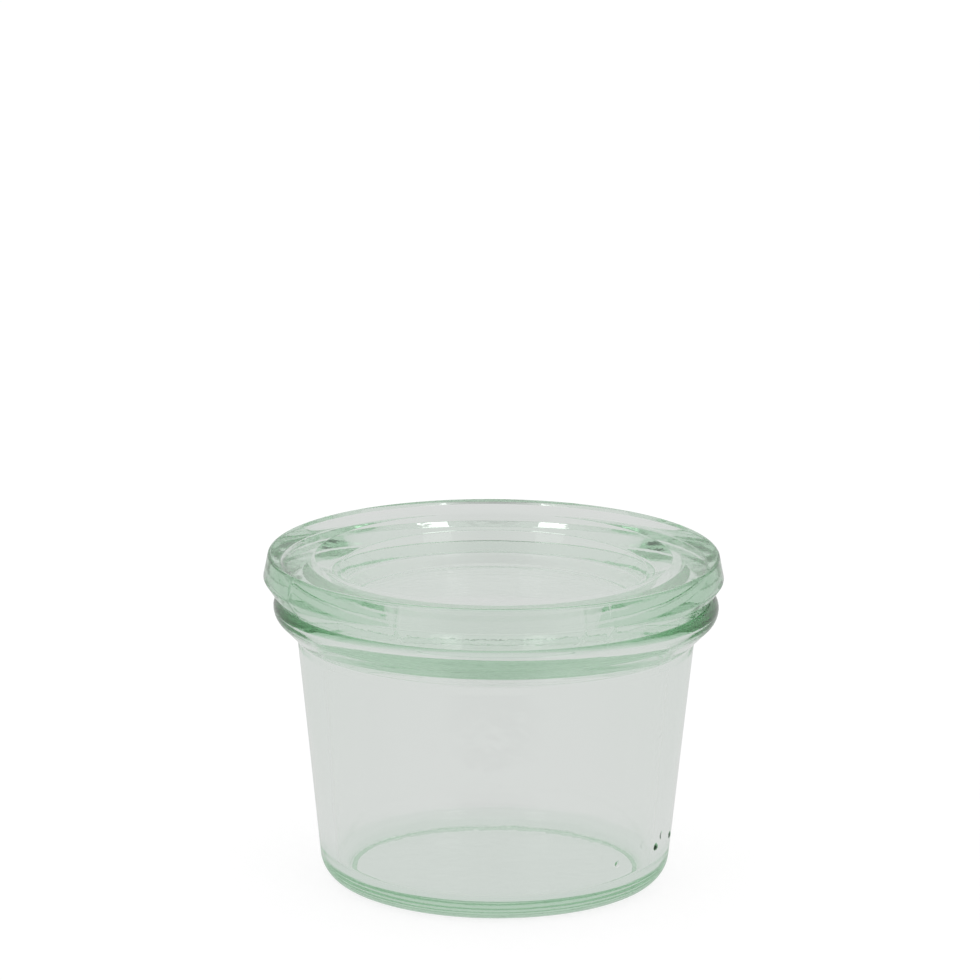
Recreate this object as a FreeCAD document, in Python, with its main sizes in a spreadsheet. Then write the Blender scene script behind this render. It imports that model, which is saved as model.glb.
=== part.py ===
import FreeCAD, Part
import os
import Sketcher

# A small tapered canning jar of pressed glass with its loose glass lid, in millimetres.
# Origin: centre of the ring the jar stands on. +Z up, along the axis of the jar.

doc = FreeCAD.newDocument("CanningJar")

SIZES = {
    # the whole
    "jar_height": 44.05,       # standing ring to the flat top of the flange
    "rim_radius": 35.0,        # the widest circle, on the edge of the lid
    # outside of the jar
    "flange_inset": 1.13,      # the flange stands this far inside the edge of the lid
    "flange_depth": 2.57,      # straight part of the flange
    "neck_depth": 6.15,        # top of the flange to the foot of its sloping underside
    "neck_inset": 3.59,        # flange to neck
    "base_inset": 3.95,        # neck to the corner the wall would meet the ground at
    "heel_round": 4.0,
    "flange_round": 1.8,
    "flange_edge": 0.5,
    "neck_round": 1.0,
    # inside of the jar
    "rim_width": 6.32,         # flange edge to the mouth
    "bore_depth": 8.05,        # depth to which the mouth narrows
    "bore_flare": 1.35,        # how much it narrows
    "wall": 2.5,               # base corner to the corner inside
    "floor_height": 2.7,
    "floor_round": 1.5,
    "mouth_round": 2.0,
    # shallow hollow under the base
    "ring_width": 0.2,         # foot of the heel's round to the inner edge of the standing ring
    "punt_slope": 1.0,         # run of the slope inside the standing ring
    "punt_depth": 0.8,
    "punt_round": 0.3,
    # raised mould pips above the heel
    "pip_radius": 1.0,
    "pip_sink": 0.65,          # centre of the pip's ball below the surface of the wall
    "pip_height": 8.2,
    "pip_start": -3.0,         # degrees from +X
    "pip_span": -44.0,         # degrees from the first pip to the last
    "pip_count": 3,
    # lid
    "lid_shift": -0.45,        # the loose lid lies a hair off the axis of the jar
    "plug_gap": 1.45,          # mouth to plug, at the flat top of the flange
    "plug_depth": 3.65,
    "plug_round": 0.5,
    "seat_inset": 0.87,        # flange edge to the lower edge of the lid
    "waist_height": 2.96,      # seat to the widest circle
    "lid_height": 6.72,        # seat to the top edge
    "crown_inset": 0.75,       # widest circle to the top edge
    "crown_fall": 0.77,        # the top falls this much towards the dish
    "dish_inset": 7.8,         # widest circle to the edge of the dish
    "ledge_run": 3.9,          # sloping ledge inside that edge, where a like jar stands
    "ledge_drop": 1.7,
    "dish_slope": 1.5,         # run of the wall from the ledge to the floor of the dish
    "dish_floor": 2.7,         # thickness of the glass under the dish
    "edge_round": 0.5,
    "seat_round": 0.3,
    "dish_round": 0.4,
    "fillet_round": 0.5,
}

sheet = doc.addObject("Spreadsheet::Sheet", "Sizes")
for row, (name, number) in enumerate(SIZES.items(), start=1):
    sheet.set(f"A{row}", name)
    sheet.set(f"B{row}", str(number))
    sheet.setAlias(f"B{row}", name)
doc.recompute()


def tied(first, *changes):
    """Expression for a size, or an expression, plus or minus other sizes."""
    text = first if "Sizes." in first or first == "0" else f"Sizes.{first}"
    for change in changes:
        text += f" {change[0]} Sizes.{change[1:]}"
    return f"({text})"


def value(expression):
    """Present value of a sum of sizes."""
    total, sign = 0.0, 1.0
    for word in expression.replace("(", "").replace(")", "").split():
        if word in "+-":
            sign = 1.0 if word == "+" else -1.0
        elif word.startswith("Sizes."):
            total += sign * SIZES[word[6:]]
        else:
            total += sign * float(word)
    return total


def origin_feature(body, role):
    return next(f for f in body.Origin.OriginFeatures if f.Role == role)


def new_body(name):
    body = doc.addObject("PartDesign::Body", name)
    body.Label = name
    return body


def outline(body, name, corners):
    """Closed sketch in the XZ plane, each corner (radius, height) tied to the sheet."""
    sketch = doc.addObject("Sketcher::SketchObject", name)
    body.addObject(sketch)
    sketch.AttachmentSupport = [(origin_feature(body, "XZ_Plane"), "")]
    sketch.MapMode = "FlatFace"
    points = [FreeCAD.Vector(value(r), value(z), 0) for r, z in corners]
    count = len(points)
    for i in range(count):
        sketch.addGeometry(Part.LineSegment(points[i], points[(i + 1) % count]), False)
    for i in range(count):
        sketch.addConstraint(Sketcher.Constraint("Coincident", i, 2, (i + 1) % count, 1))
    for i, (r, z) in enumerate(corners):
        for kind, axis, expression in (("DistanceX", -2, r), ("DistanceY", -1, z)):
            if expression == "0":
                sketch.addConstraint(Sketcher.Constraint("PointOnObject", i, 1, axis))
            else:
                at = sketch.addConstraint(
                    Sketcher.Constraint(kind, -1, 1, i, 1, value(expression)))
                sketch.setExpression(f"Constraints[{at}]", expression)
    doc.recompute()
    return sketch


def turn(body, kind, name, sketch):
    """Revolve a sketch about the axis: kind is Revolution (adds) or Groove (cuts)."""
    feature = doc.addObject(f"PartDesign::{kind}", name)
    body.addObject(feature)
    feature.Profile = sketch
    feature.ReferenceAxis = (sketch, ["V_Axis"])
    feature.Angle = 360.0
    body.Tip = feature
    doc.recompute()
    return feature


def circle_edges(shape, radius, height):
    """Names of the circular edges of a turned shape at one radius and height."""
    found = []
    for i, edge in enumerate(shape.Edges, start=1):
        curve = edge.Curve
        if (isinstance(curve, Part.Circle) and abs(curve.Radius - radius) < 1e-3
                and abs(curve.Center.z - height) < 1e-3):
            found.append(f"Edge{i}")
    return found


def soften(body, name, radius, corner):
    """Round the circular corner (radius, height) of the body by a size on the sheet."""
    base = body.Tip
    edges = circle_edges(base.Shape, value(corner[0]), value(corner[1]))
    if not edges:
        raise RuntimeError(f"{name}: no edge at {corner}")
    fillet = doc.addObject("PartDesign::Fillet", name)
    body.addObject(fillet)
    fillet.Base = (base, edges)
    fillet.Radius = value(tied(radius))
    fillet.setExpression("Radius", tied(radius))
    body.Tip = fillet
    doc.recompute()
    return fillet


# Radii and heights that both pieces share, as sums of the sizes above.
TOP = tied("jar_height")
FLANGE = tied("rim_radius", "-flange_inset")
MOUTH = tied(FLANGE, "-rim_width")
NECK = tied(FLANGE, "-neck_inset")
BASE = tied(NECK, "-base_inset")

# ---------------------------------------------------------------- jar
jar = new_body("jar")
flange_low = tied("jar_height", "-flange_depth")
neck_low = tied("jar_height", "-neck_depth")
punt = tied("punt_depth")
ring_in = tied(BASE, "-heel_round", "-ring_width")
punt_in = tied(ring_in, "-punt_slope")
outside = [
    ("0", punt),
    (punt_in, punt),
    (ring_in, "0"),
    (BASE, "0"),
    (NECK, neck_low),
    (FLANGE, flange_low),
    (FLANGE, TOP),
    ("0", TOP),
]
turn(jar, "Revolution", "JarBlank", outline(jar, "JarOutside", outside))

floor = tied("floor_height")
floor_edge = tied(BASE, "-wall")
bore = tied(MOUTH, "-bore_flare")
bore_low = tied("jar_height", "-bore_depth")
inside = [
    ("0", floor),
    (floor_edge, floor),
    (bore, bore_low),
    (MOUTH, TOP),
    ("0", TOP),
]
turn(jar, "Groove", "JarHollow", outline(jar, "JarInside", inside))

soften(jar, "HeelRound", "heel_round", (BASE, "0"))
soften(jar, "FlangeUnderRound", "flange_round", (FLANGE, flange_low))
soften(jar, "FlangeTopRound", "flange_edge", (FLANGE, TOP))
soften(jar, "NeckRound", "neck_round", (NECK, neck_low))
soften(jar, "FloorRound", "floor_round", (floor_edge, floor))
soften(jar, "MouthRound", "mouth_round", (MOUTH, TOP))
soften(jar, "RingRound", "punt_round", (ring_in, "0"))
soften(jar, "PuntRound", "punt_round", (punt_in, punt))

# One ball sunk in the wall, repeated round the heel.
pip = doc.addObject("PartDesign::AdditiveSphere", "Pip")
jar.addObject(pip)
pip.Radius = value(tied("pip_radius"))
pip.setExpression("Radius", tied("pip_radius"))
wall_here = (f"({BASE} + Sizes.base_inset * Sizes.pip_height"
             f" / (Sizes.jar_height - Sizes.neck_depth) - Sizes.pip_sink)")
pip.AttachmentSupport = [(origin_feature(jar, "XY_Plane"), "")]
pip.MapMode = "FlatFace"
pip.setExpression(".AttachmentOffset.Base.x", f"{wall_here} * cos(Sizes.pip_start * 1 deg)")
pip.setExpression(".AttachmentOffset.Base.y", f"{wall_here} * sin(Sizes.pip_start * 1 deg)")
pip.setExpression(".AttachmentOffset.Base.z", tied("pip_height"))
jar.Tip = pip
doc.recompute()

pips = doc.addObject("PartDesign::PolarPattern", "Pips")
jar.addObject(pips)
pips.Originals = [pip]
pips.Axis = (origin_feature(jar, "Z_Axis"), [""])
jar.Tip = pips
pips.setExpression("Angle", "Sizes.pip_span * -1")
pips.Reversed = True
pips.setExpression("Occurrences", "Sizes.pip_count")
doc.recompute()

# ---------------------------------------------------------------- lid
lid = new_body("lid")
plug = tied(MOUTH, "-plug_gap")
seat = tied("plug_depth")
seat_edge = tied(FLANGE, "-seat_inset")
rim = tied("rim_radius")
waist = tied("plug_depth", "+waist_height")
crown = tied("plug_depth", "+lid_height")
crown_edge = tied("rim_radius", "-crown_inset")
lid_outside = [
    ("0", "0"),
    (plug, "0"),
    (plug, seat),
    (seat_edge, seat),
    (rim, waist),
    (crown_edge, crown),
    ("0", crown),
]
turn(lid, "Revolution", "LidBlank", outline(lid, "LidOutside", lid_outside))

dish_floor = tied("dish_floor")
dish_edge = tied("rim_radius", "-dish_inset")
dish_top = tied(crown, "-crown_fall")
ledge_edge = tied(dish_edge, "-ledge_run")
ledge = tied(dish_top, "-ledge_drop")
dish_low = tied(ledge_edge, "-dish_slope")
dish = [
    ("0", dish_floor),
    (dish_low, dish_floor),
    (ledge_edge, ledge),
    (dish_edge, dish_top),
    (crown_edge, crown),
    ("0", crown),
]
turn(lid, "Groove", "LidDish", outline(lid, "LidDishLine", dish))

soften(lid, "PlugRound", "plug_round", (plug, "0"))
soften(lid, "SeatRound", "seat_round", (seat_edge, seat))
soften(lid, "RootRound", "fillet_round", (plug, seat))
soften(lid, "WaistRound", "edge_round", (rim, waist))
soften(lid, "CrownRound", "edge_round", (crown_edge, crown))
soften(lid, "DishEdgeRound", "dish_round", (dish_edge, dish_top))
soften(lid, "LedgeRound", "dish_round", (ledge_edge, ledge))
soften(lid, "DishFloorRound", "dish_round", (dish_low, dish_floor))

lid.setExpression(".Placement.Base.x", tied("lid_shift"))
lid.setExpression(".Placement.Base.z", tied("jar_height", "-plug_depth"))
doc.recompute()

# ---------------------------------------------------------------- checks and files
for item in doc.Objects:
    if any(state in item.State for state in ("Invalid", "Error")):
        raise RuntimeError(f"{item.Label} is {item.State}")

os.makedirs("parts", exist_ok=True)
for body in (jar, lid):
    shape = body.Shape
    if shape.isNull() or not shape.isValid() or len(shape.Solids) != 1:
        raise RuntimeError(f"{body.Label} is not one valid solid")
    print(body.Label, "volume", round(shape.Volume, 1), "box", shape.BoundBox)
    shape.exportStep(f"parts/{body.Label}.step")
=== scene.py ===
"""Glass canning jar: a low pressed-glass jar with its loose glass lid, in pale green glass.

Both pieces are turned from the sizes of the CAD part, as closed smooth meshes with the slight
unevenness of pressed glass.  The flange, the floor's inner corner and the pips are a little
closer to the photograph than the CAD part's.  Sizes in the tables are millimetres and azimuths
are degrees from +X towards +Y; the scene is in metres, and the camera looks along +Y.
"""
import cmath
import math

import bpy
import numpy as np
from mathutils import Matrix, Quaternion, Vector, noise


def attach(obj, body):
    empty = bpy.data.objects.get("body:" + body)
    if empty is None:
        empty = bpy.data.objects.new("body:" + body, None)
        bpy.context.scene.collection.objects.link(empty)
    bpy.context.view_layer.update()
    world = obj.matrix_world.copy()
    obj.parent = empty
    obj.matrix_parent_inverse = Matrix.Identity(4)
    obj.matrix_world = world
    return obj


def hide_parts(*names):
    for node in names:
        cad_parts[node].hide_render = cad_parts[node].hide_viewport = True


MM = 0.001
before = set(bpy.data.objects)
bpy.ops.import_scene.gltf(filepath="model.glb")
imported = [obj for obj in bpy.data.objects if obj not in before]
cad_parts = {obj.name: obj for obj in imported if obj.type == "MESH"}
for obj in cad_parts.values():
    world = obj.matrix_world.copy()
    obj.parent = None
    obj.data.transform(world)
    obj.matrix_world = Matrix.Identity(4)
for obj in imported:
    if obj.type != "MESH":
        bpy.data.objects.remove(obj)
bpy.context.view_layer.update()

# ---------------------------------------------------------------- sizes, in millimetres
RIM_TOP = 44.05          # top of the jar's rim, which the lid rests on
LID_SHIFT = -0.45        # the lid lies a little off centre
LID_LIFT = 0.02          # air between the two pieces of glass

# corners of half a section: radius, height, rounding
JAR = [
    (0, 2.7), (23.83, 2.7, 2.5), (26.2, 36.0, 1.0), (27.55, RIM_TOP, 2.0),
    (33.87, RIM_TOP, 1.5), (33.87, 41.48, 2.5), (30.28, 37.9, 1.0), (26.33, 0.0, 4.0),
    (22.13, 0.0, 0.3), (21.13, 0.8, 0.3), (0, 0.8),
]
LID = [
    (0, 43.1), (21.8, 43.1, 0.4), (23.3, 48.3, 0.4), (27.2, 50.0, 0.4), (34.25, 50.74, 0.5),
    (35.0, 47.01, 0.5), (33.0, RIM_TOP, 0.3), (26.1, RIM_TOP, 0.5), (26.1, 40.4, 0.5),
    (0, 40.4),
]

# small pips left by the mould: azimuth, height, how far each stands proud
PIPS = [(-11.0, 7.8, 0.20), (-26.0, 7.9, 0.38), (-47.0, 7.6, 0.28)]
PIP_RADIUS = 0.6
PIP_BAND = (6.2, 8.6)    # heights that the pips lie between
OUTSIDE = 26.0           # low on the jar, skin beyond this radius is the outside of the wall

# faint upright hollows in the rim of the lid: azimuth, width, depth
SEAMS = [(-151.0, 0.45, 0.05), (-113.7, 0.45, 0.05), (-67.5, 0.45, 0.05), (-59.5, 0.45, 0.05)]
SEAM_START = 32.6        # radius where the hollows begin
SEAM_RAMP = 0.8          # and the run over which they reach their depth

# unevenness of pressed glass: the most that it takes off the radius, and where its noise starts
JAR_UNEVEN = (0.12, 3.0)
LID_UNEVEN = (0.10, 11.0)
WIDE_SWELLS = (1.3, 0.035)         # swells round the axis, and along each millimetre of height
FINE_SWELLS = (4.5, 0.05)
FINE_SHARE = 0.35
CALM_RADIUS = 10         # within this radius the unevenness dies away towards the axis


# ---------------------------------------------------------------- turned glass
SEGMENTS = 480                     # even steps round the axis
ARC_TURN = math.radians(6)         # most turn in one step of a rounded corner
RUN_STEP = 2.5                     # longest step of a straight run
PIP_STEP = 0.12                    # longest step where the pips stand
CLOSE_STEPS, CLOSE_ANGLE = 8, 0.25           # extra steps each side of a pip or hollow, degrees
CLOSE_OFFSET = 0.1                 # keeps the extra steps off the even ones, degrees


def rounded(corners):
    """The section as points r + zj with their outward normals, its corners rounded."""
    points = [complex(*c[:2]) for c in corners]
    runs = [(b - a) / abs(b - a) for a, b in zip(points, points[1:])]
    line = [(points[0], 1j * runs[0])]
    for here, before, after, corner in zip(points[1:], runs, runs[1:], corners[1:]):
        radius = corner[2]
        turn = cmath.phase(after / before)
        side = -radius if turn > 0 else radius
        centre = here - before * radius * math.tan(abs(turn) / 2) - side * 1j * before
        steps = max(2, math.ceil(abs(turn) / ARC_TURN))
        for k in range(steps + 1):
            normal = 1j * before * cmath.rect(1, turn * k / steps)
            line.append((centre + side * normal, normal))
    line.append((points[-1], 1j * runs[-1]))
    dense = divided(line, lambda a, b: max(1, math.ceil(abs(b - a) / RUN_STEP)))
    return divided(dense, pip_steps)


def divided(line, steps_between):
    """The same line of points and normals with each stretch cut into even steps."""
    cut = []
    for (a, first), (b, last) in zip(line, line[1:]):
        steps = steps_between(a, b)
        cut += [(a + (b - a) * k / steps, first + (last - first) * k / steps)
                for k in range(steps)]
    return cut + line[-1:]


def pip_steps(a, b):
    """How many steps a stretch of the section takes: many where the pips stand, else one."""
    low, high = PIP_BAND
    beside = (min(a.real, b.real) > OUTSIDE and min(a.imag, b.imag) < high
              and max(a.imag, b.imag) > low)
    return math.ceil(abs(b - a) / PIP_STEP) if beside else 1


def spokes(marks):
    """Angles of even steps all the way round, with small ones about the azimuths in marks."""
    even = [360 * k / SEGMENTS for k in range(SEGMENTS)]
    close = [(a + k * CLOSE_ANGLE + CLOSE_OFFSET) % 360
             for a in marks for k in range(-CLOSE_STEPS, CLOSE_STEPS + 1)]
    return np.array([math.radians(a) for a in sorted(even + close)])


def turned(name, corners, standoff, marks, shift=0.0, lift=0.0):
    """A closed solid of revolution whose skin stands off its true radius by standoff."""
    section = rounded(corners)
    r = np.array([p.real for p, n in section])[:, None]
    z = np.array([p.imag for p, n in section])[:, None]
    out = np.array([n.real for p, n in section])[:, None]
    up = np.array([n.imag for p, n in section])[:, None]
    angle = spokes(marks)
    off = np.array([[standoff(rr, zz, a) for a in angle] for rr, zz in zip(r[:, 0], z[:, 0])])

    # true normals: those of the section, tipped by the slope of the standoff
    along = np.concatenate([[0], np.cumsum(np.hypot(np.diff(r[:, 0]), np.diff(z[:, 0])))])
    slope = np.gradient(off, along, axis=0)
    wrapped = np.concatenate([angle[-1:] - math.tau, angle, angle[:1] + math.tau])
    lean = np.gradient(np.hstack([off[:, -1:], off, off[:, :1]]), wrapped, axis=1)[:, 1:-1]
    lean /= np.maximum(r, 1.0)
    c, s = np.cos(angle), np.sin(angle)
    height = np.broadcast_to(z + lift, off.shape)
    place = np.stack([(r + off) * c + shift, (r + off) * s, height], axis=2)
    normal = np.stack([out * (c + lean * s), out * (s - lean * c), up + slope], axis=2)
    normal /= np.linalg.norm(normal, axis=2)[:, :, None]

    # the first and last points lie on the axis, so each is one vertex
    last, count = len(section) - 1, len(angle)
    keep = [(i, k) for i in range(last + 1) for k in range(count if 0 < i < last else 1)]
    index = {ik: n for n, ik in enumerate(keep)}
    faces = []
    for i in range(last):
        for k in range(count):
            ring = [(i, k), (i + 1, k), (i + 1, (k + 1) % count), (i, (k + 1) % count)]
            corner = [index[(j, m if 0 < j < last else 0)] for j, m in ring]
            faces.append(list(dict.fromkeys(corner)))
    rows, columns = zip(*keep)
    mesh = bpy.data.meshes.new(name)
    mesh.from_pydata((place[rows, columns] * MM).tolist(), [], faces)
    mesh.shade_smooth()
    mesh.normals_split_custom_set_from_vertices(normal[rows, columns].tolist())
    piece = bpy.data.objects.new(name, mesh)
    bpy.context.scene.collection.objects.link(piece)
    return piece


def swell(angle, z, swells, start):
    """Smooth noise on the skin, between -1 and 1."""
    turn, rise = swells
    return noise.noise(Vector((turn * math.cos(angle), turn * math.sin(angle), z * rise + start)))


def uneven(r, z, angle, most, start):
    """How far pressed glass falls short of its true radius here."""
    wide = swell(angle, z, WIDE_SWELLS, start)
    fine = swell(angle, z, FINE_SWELLS, 2 * start)
    share = (1 + wide + FINE_SHARE * fine) / (2 + FINE_SHARE)
    return -most * share * min(1.0, r / CALM_RADIUS)


def across(r, angle, azimuth):
    """Length along the skin from an azimuth to this angle."""
    return r * ((angle - math.radians(azimuth) + math.pi) % math.tau - math.pi)


def jar_standoff(r, z, angle):
    off = uneven(r, z, angle, *JAR_UNEVEN)
    if r > OUTSIDE:
        for azimuth, height, proud in PIPS:
            away = math.hypot(across(r, angle, azimuth), z - height) / PIP_RADIUS
            off += proud * max(0.0, 1 - away * away)
    return off


def lid_standoff(r, z, angle):
    off = uneven(r, z, angle, *LID_UNEVEN)
    if r > SEAM_START:
        for azimuth, width, depth in SEAMS:
            fall = math.exp(-(across(r, angle, azimuth) / width) ** 2)
            off -= depth * min(1.0, (r - SEAM_START) / SEAM_RAMP) * fall
    return off


jar = turned("jar_glass_body", JAR, jar_standoff, [pip[0] for pip in PIPS])
lid = turned("lid_glass_body", LID, lid_standoff, [seam[0] for seam in SEAMS], LID_SHIFT,
             LID_LIFT)


# ---------------------------------------------------------------- materials
WHITE = (1, 1, 1, 1)
GLASS_TINT = (0.53, 0.79, 0.59)    # colour that the glass lets through
GLASS_DENSITY = 21.0               # how strongly its thickness tints, per metre
SODA_GLASS_IOR = 1.52


def nodes_of(owner):
    """An empty node tree and two short ways to add and join nodes."""
    owner.use_nodes = True
    tree = owner.node_tree
    tree.nodes.clear()

    def add(kind, operation=None, **values):
        node = tree.nodes.new(kind)
        if operation:
            node.operation = operation
        for socket, value in values.items():
            node.inputs[socket.replace("_", " ")].default_value = value
        return node

    def join(source, output, target, socket):
        tree.links.new(source.outputs[output], target.inputs[socket])
    return add, join


def pressed_glass():
    """Clear soda glass: tinted by its thickness, its skin faintly wavy from the mould."""
    material = bpy.data.materials.new("pressed_glass")
    add, join = nodes_of(material)
    out = add("ShaderNodeOutputMaterial")
    skin = add("ShaderNodeBsdfPrincipled", Base_Color=WHITE, IOR=SODA_GLASS_IOR,
               Transmission_Weight=1.0)
    body = add("ShaderNodeVolumeAbsorption", Color=(*GLASS_TINT, 1), Density=GLASS_DENSITY)
    place = add("ShaderNodeTexCoord")
    flow = add("ShaderNodeTexNoise", Scale=70.0, Detail=2.0, Roughness=0.45)
    grain = add("ShaderNodeTexNoise", Scale=420.0, Detail=3.0, Roughness=0.5)
    join(place, "Object", flow, "Vector")
    join(place, "Object", grain, "Vector")
    chill = add("ShaderNodeBump", Strength=0.012, Distance=MM)
    wave = add("ShaderNodeBump", Strength=0.07, Distance=MM)
    join(grain, "Fac", chill, "Height")
    join(flow, "Fac", wave, "Height")
    join(chill, "Normal", wave, "Normal")
    join(wave, "Normal", skin, "Normal")
    haze = add("ShaderNodeMapRange", From_Min=0.45, From_Max=0.8, To_Max=0.02)
    join(grain, "Fac", haze, "Value")
    join(haze, "Result", skin, "Roughness")
    join(skin, "BSDF", out, "Surface")
    join(body, "Volume", out, "Volume")
    return material


glass = pressed_glass()
for piece in (jar, lid):
    piece.data.materials.append(glass)
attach(jar, "root")
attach(lid, "root")
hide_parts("jar")
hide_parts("lid")


# ---------------------------------------------------------------- floor and background
SURROUND = 0.72          # brightness of the studio as the glass gathers it
FLOOR_HALF = 3           # half the side of the floor
FLOOR_DROP = 0.0001      # the floor lies this far below the foot
FLOOR_MATT, FLOOR_GLOW = 0.30, 0.82          # what takes the shadow, and what makes it white
PAINTED_SHADE_TINT = (0.86, 0.92, 0.88)    # painted shadow of the jar on the floor under it, tinted green as if lit through the glass
PAINTED_SHADE_FADE = (0.024, 0.045)        # distances from the axis between which the painted shadow fades out
DARK_SIDE = (-0.95, -0.80)         # the unlit end of the studio behind the camera, by direction Y
DARK_GLOW = 0.1


def pale_floor():
    """Matt and almost white to the eye; to rays that have met the glass a glow, with a painted
    shadow that is darker and greener under the jar.
    """
    material = bpy.data.materials.new("pale_floor")
    add, join = nodes_of(material)
    out = add("ShaderNodeOutputMaterial")
    matt = add("ShaderNodeBsdfDiffuse", Color=(FLOOR_MATT, FLOOR_MATT, FLOOR_MATT, 1))
    glow = add("ShaderNodeEmission", Color=WHITE, Strength=FLOOR_GLOW)
    open_floor = add("ShaderNodeAddShader")
    join(matt, "BSDF", open_floor, 0)
    join(glow, "Emission", open_floor, 1)

    far_floor = add("ShaderNodeEmission", Color=WHITE, Strength=SURROUND)
    # painted shadow: the glow is dimmer and greener near the axis, seen only by rays that have met
    # the glass
    painted_shade_floor = add("ShaderNodeEmission", Color=(*PAINTED_SHADE_TINT, 1), Strength=SURROUND)
    place = add("ShaderNodeTexCoord")
    away = add("ShaderNodeVectorMath", operation="LENGTH")
    painted_shade_mask = add("ShaderNodeMapRange", From_Min=PAINTED_SHADE_FADE[0], From_Max=PAINTED_SHADE_FADE[1])
    table_with_painted_shade = add("ShaderNodeMixShader")
    join(place, "Object", away, 0)
    join(away, "Value", painted_shade_mask, "Value")
    join(painted_shade_mask, "Result", table_with_painted_shade, 0)
    join(painted_shade_floor, "Emission", table_with_painted_shade, 1)
    join(far_floor, "Emission", table_with_painted_shade, 2)

    ray = add("ShaderNodeLightPath")
    glassy = add("ShaderNodeMath", operation="ADD")
    seen_by = add("ShaderNodeMixShader")
    join(ray, "Is Glossy Ray", glassy, 0)
    join(ray, "Is Transmission Ray", glassy, 1)
    join(glassy, "Value", seen_by, 0)
    join(open_floor, "Shader", seen_by, 1)
    join(table_with_painted_shade, "Shader", seen_by, 2)
    join(seen_by, "Shader", out, "Surface")
    return material


def studio():
    """White behind the jar; to all else a soft grey room that is dark behind the camera."""
    world = bpy.data.worlds.new("studio")
    add, join = nodes_of(world)
    out = add("ShaderNodeOutputWorld")
    backdrop = add("ShaderNodeBackground", Color=WHITE, Strength=1.0)
    around = add("ShaderNodeBackground", Color=WHITE)
    direction = add("ShaderNodeTexCoord")
    split = add("ShaderNodeSeparateXYZ")
    dark_side = add("ShaderNodeMapRange", From_Min=DARK_SIDE[0], From_Max=DARK_SIDE[1],
                    To_Min=DARK_GLOW, To_Max=SURROUND)
    join(direction, "Generated", split, "Vector")
    join(split, "Y", dark_side, "Value")
    join(dark_side, "Result", around, "Strength")

    ray = add("ShaderNodeLightPath")
    seen_by = add("ShaderNodeMixShader")
    join(ray, "Is Camera Ray", seen_by, 0)
    join(around, "Background", seen_by, 1)
    join(backdrop, "Background", seen_by, 2)
    join(seen_by, "Shader", out, "Surface")
    return world


ends = ((-FLOOR_HALF, -FLOOR_HALF), (FLOOR_HALF, -FLOOR_HALF), (FLOOR_HALF, FLOOR_HALF),
        (-FLOOR_HALF, FLOOR_HALF))
floor_mesh = bpy.data.meshes.new("floor")
floor_mesh.from_pydata([(x, y, 0) for x, y in ends], [], [(0, 1, 2, 3)])
floor_mesh.materials.append(pale_floor())
floor = bpy.data.objects.new("floor", floor_mesh)
floor.location.z = -FLOOR_DROP
bpy.context.scene.collection.objects.link(floor)
bpy.context.scene.world = studio()


# ---------------------------------------------------------------- softboxes
LAMP_AZIMUTH, LAMP_ELEVATION = 35, 40        # degrees from the camera's side, and above level
LAMP_DISTANCE = 1.0
LAMP_SIZE = (0.25, 0.35)
LAMP_POWER = 0.25
LAMP_AIM = Vector((0, 0, 0.03))              # the middle of the jar


def softbox(name, azimuth):
    """A softbox that faces the jar; azimuth counts from the camera's side, to the right."""
    data = bpy.data.lights.new(name, "AREA")
    data.shape = "RECTANGLE"
    data.size, data.size_y = LAMP_SIZE
    data.energy = LAMP_POWER
    a, e = math.radians(azimuth), math.radians(LAMP_ELEVATION)
    place = LAMP_DISTANCE * Vector((math.sin(a) * math.cos(e), -math.cos(a) * math.cos(e),
                                    math.sin(e)))
    box = bpy.data.objects.new(name, data)
    box.location = place
    box.rotation_mode = "QUATERNION"
    box.rotation_quaternion = (LAMP_AIM - place).to_track_quat("-Z", "Y")
    bpy.context.scene.collection.objects.link(box)


softbox("softbox_left", -LAMP_AZIMUTH)
softbox("softbox_right", LAMP_AZIMUTH)


# ---------------------------------------------------------------- camera, fitted to the photograph
CAMERA_TILT = math.radians(15.802)           # the camera's height above level, seen from the jar
CAMERA_ROLL = math.radians(0.395)
CAMERA_DISTANCE = 0.9
CAMERA_PIVOT = Vector((0, 0, 0.025))         # what the tilt and the distance count from
CAMERA_AIM = Vector((-1.077, 0, 60.373)) * MM          # what the middle of the picture shows
SENSOR_WIDTH = 36
FOCAL_WIDTHS = 6.548 * 900 / 980             # focal length in widths of the picture

eye = CAMERA_PIVOT + CAMERA_DISTANCE * Vector((0, -math.cos(CAMERA_TILT), math.sin(CAMERA_TILT)))
camera_data = bpy.data.cameras.new("camera")
camera_data.sensor_width = SENSOR_WIDTH
camera_data.lens = FOCAL_WIDTHS * SENSOR_WIDTH
camera_data.clip_start = 0.05
camera = bpy.data.objects.new("camera", camera_data)
camera.location = eye
camera.rotation_mode = "QUATERNION"
camera.rotation_quaternion = ((CAMERA_AIM - eye).to_track_quat("-Z", "Y")
                              @ Quaternion((0, 0, 1), CAMERA_ROLL))
bpy.context.scene.collection.objects.link(camera)
bpy.context.scene.camera = camera

GLASS_BOUNCES = 1024     # light runs round inside the rims many times
scene = bpy.context.scene
scene.view_settings.view_transform = "Standard"
scene.cycles.max_bounces = GLASS_BOUNCES
scene.cycles.transmission_bounces = GLASS_BOUNCES
scene.cycles.glossy_bounces = GLASS_BOUNCES
